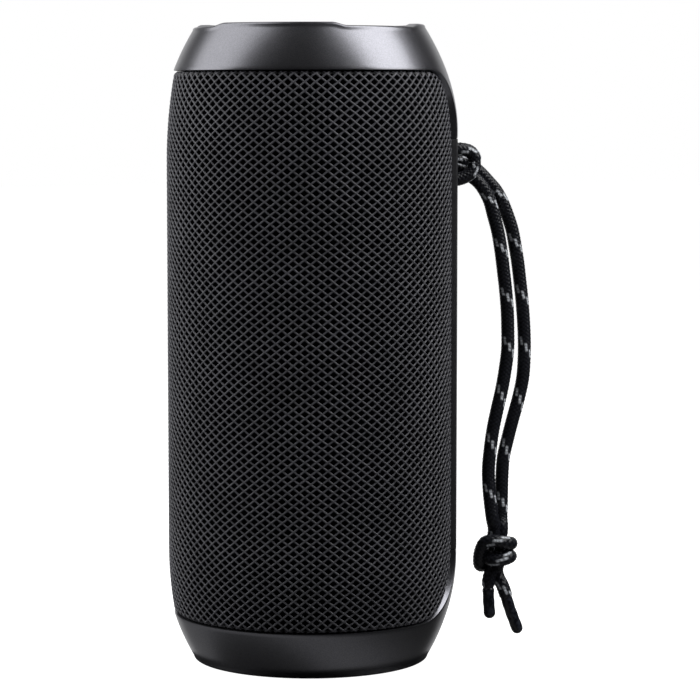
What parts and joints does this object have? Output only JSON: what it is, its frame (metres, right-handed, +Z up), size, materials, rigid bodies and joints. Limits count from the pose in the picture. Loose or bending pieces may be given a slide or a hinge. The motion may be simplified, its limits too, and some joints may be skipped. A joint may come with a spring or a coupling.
{
  "type": "shower speaker",
  "caption": "Cylindrical portable speaker with mesh-covered barrel, dark end caps, control spine, end radiators and a knotted cord lanyard.",
  "frame": {"origin": "centre of the base, on the surface the speaker stands on", "axes": "+Z up the barrel, -Y where the drivers face, +X the control spine with the lanyard bar"},
  "size_m": [0.1045, 0.08, 0.177],
  "materials": {
    "cap_paint": "satin dark metallic paint on ABS, fine flake",
    "grille_cloth": "knitted diamond mesh, charcoal black",
    "inner_plastic": "black ABS, matte",
    "spine_plastic": "soft-touch black, fine grain",
    "button_rubber": "silicone keys with raised signs",
    "door_rubber": "flexible seal rubber, matte",
    "cord_weave": "braided cord, black with pale flecks",
    "cord_sleeve": "dark clear heat-shrink sleeve",
    "bar_steel": "bright pin",
    "screw_steel": "plated",
    "basket_steel": "black paint",
    "magnet_steel": "zinc plated",
    "coil_copper": "enamelled copper wire",
    "cone_paper": "treated pulp",
    "surround_rubber": "butyl roll",
    "radiator_metal": "dark anodised, spun",
    "cell_can": "shrink-wrapped can",
    "board": "green solder mask",
    "lead_cover": "red insulated wire",
    "ribbon_film": "flat flexible cable",
    "clear_light": "frosted light pipe",
    "socket_steel": "plated shell",
    "mic_can": "pressed can"
  },
  "bodies": {
    "housing": {"top_cap": "cap_paint", "base_cap": "cap_paint", "grille_fabric": "grille_cloth", "grille_sleeve": "inner_plastic", "acoustic_tube": "inner_plastic", "battery_holder": "inner_plastic", "aux_socket": "inner_plastic", "top_radiator_frame": "inner_plastic", "base_radiator_frame": "inner_plastic", "spine_panel": "spine_plastic", "lanyard_pocket": "spine_plastic", "port_bay": "spine_plastic", "button_keypad": "button_rubber", "control_board": "board", "main_board": "board", "light_pipe": "clear_light", "microphone": "mic_can", "usb_socket": "socket_steel", "card_slot": "socket_steel", "lower_driver_gasket": "surround_rubber", "lower_driver_surround": "surround_rubber", "lower_driver_basket": "basket_steel", "lower_driver_magnet": "magnet_steel", "lower_driver_screw_1": "screw_steel", "lower_driver_screw_2": "screw_steel", "upper_driver_gasket": "surround_rubber", "upper_driver_surround": "surround_rubber", "upper_driver_basket": "basket_steel", "upper_driver_magnet": "magnet_steel", "upper_driver_screw_1": "screw_steel", "upper_driver_screw_2": "screw_steel", "top_radiator_surround": "surround_rubber", "base_radiator_surround": "surround_rubber", "battery_cell_left": "cell_can", "battery_cell_right": "cell_can", "lower_speaker_lead": "lead_cover", "upper_speaker_lead": "lead_cover", "battery_lead": "lead_cover", "panel_ribbon": "ribbon_film", "lanyard_bar": "bar_steel"},
    "power_button": {"power_button": "button_rubber"},
    "minus_button": {"minus_button": "button_rubber"},
    "play_button": {"play_button": "button_rubber"},
    "plus_button": {"plus_button": "button_rubber"},
    "pair_button": {"pair_button": "button_rubber"},
    "port_door": {"port_door": "door_rubber"},
    "lower_cone": {"lower_driver_cone": "cone_paper", "lower_voice_coil": "coil_copper", "lower_dust_cap": "cone_paper"},
    "upper_cone": {"upper_driver_cone": "cone_paper", "upper_voice_coil": "coil_copper", "upper_dust_cap": "cone_paper"},
    "top_radiator": {"top_radiator_plate": "radiator_metal"},
    "base_radiator": {"base_radiator_plate": "radiator_metal"},
    "lanyard": {"lanyard_hitch": "cord_weave", "outer_strand": "cord_weave", "inner_strand": "cord_weave", "lanyard_knot": "cord_weave", "left_cord_tip": "cord_sleeve", "right_cord_tip": "cord_sleeve"}
  },
  "joints": [
    {"name": "power_press", "type": "slide", "parent": "housing", "child": "power_button", "axis": [-1, 0, 0], "range_m": [0, 0.0006], "stiffness_N_per_m": 400},
    {"name": "minus_press", "type": "slide", "parent": "housing", "child": "minus_button", "axis": [-1, 0, 0], "range_m": [0, 0.0006], "stiffness_N_per_m": 400},
    {"name": "play_press", "type": "slide", "parent": "housing", "child": "play_button", "axis": [-1, 0, 0], "range_m": [0, 0.0006], "stiffness_N_per_m": 400},
    {"name": "plus_press", "type": "slide", "parent": "housing", "child": "plus_button", "axis": [-1, 0, 0], "range_m": [0, 0.0006], "stiffness_N_per_m": 400},
    {"name": "pair_press", "type": "slide", "parent": "housing", "child": "pair_button", "axis": [-1, 0, 0], "range_m": [0, 0.0006], "stiffness_N_per_m": 400},
    {"name": "port_door_hinge", "type": "hinge", "parent": "housing", "child": "port_door", "pos_m": [0.04012, -0.0032, 0.049], "axis": [0, 0, -1], "range_deg": [0, 110]},
    {"name": "lower_cone_travel", "type": "slide", "parent": "housing", "child": "lower_cone", "axis": [0, -1, 0], "range_m": [-0.002, 0.002], "stiffness_N_per_m": 1200, "deforming": ["lower_driver_surround"]},
    {"name": "upper_cone_travel", "type": "slide", "parent": "housing", "child": "upper_cone", "axis": [0, -1, 0], "range_m": [-0.002, 0.002], "stiffness_N_per_m": 1200, "deforming": ["upper_driver_surround"]},
    {"name": "top_radiator_travel", "type": "slide", "parent": "housing", "child": "top_radiator", "axis": [0, 0, 1], "range_m": [-0.0025, 0.0025], "stiffness_N_per_m": 1500, "deforming": ["top_radiator_surround"]},
    {"name": "base_radiator_travel", "type": "slide", "parent": "housing", "child": "base_radiator", "axis": [0, 0, 1], "range_m": [-0.0025, 0.0025], "stiffness_N_per_m": 1500, "deforming": ["base_radiator_surround"]},
    {"name": "lanyard_swivel", "type": "hinge", "parent": "housing", "child": "lanyard", "pos_m": [0.0385, 0, 0.138], "axis": [0, 0, 1], "range_deg": [-45, 45]}
  ]
}
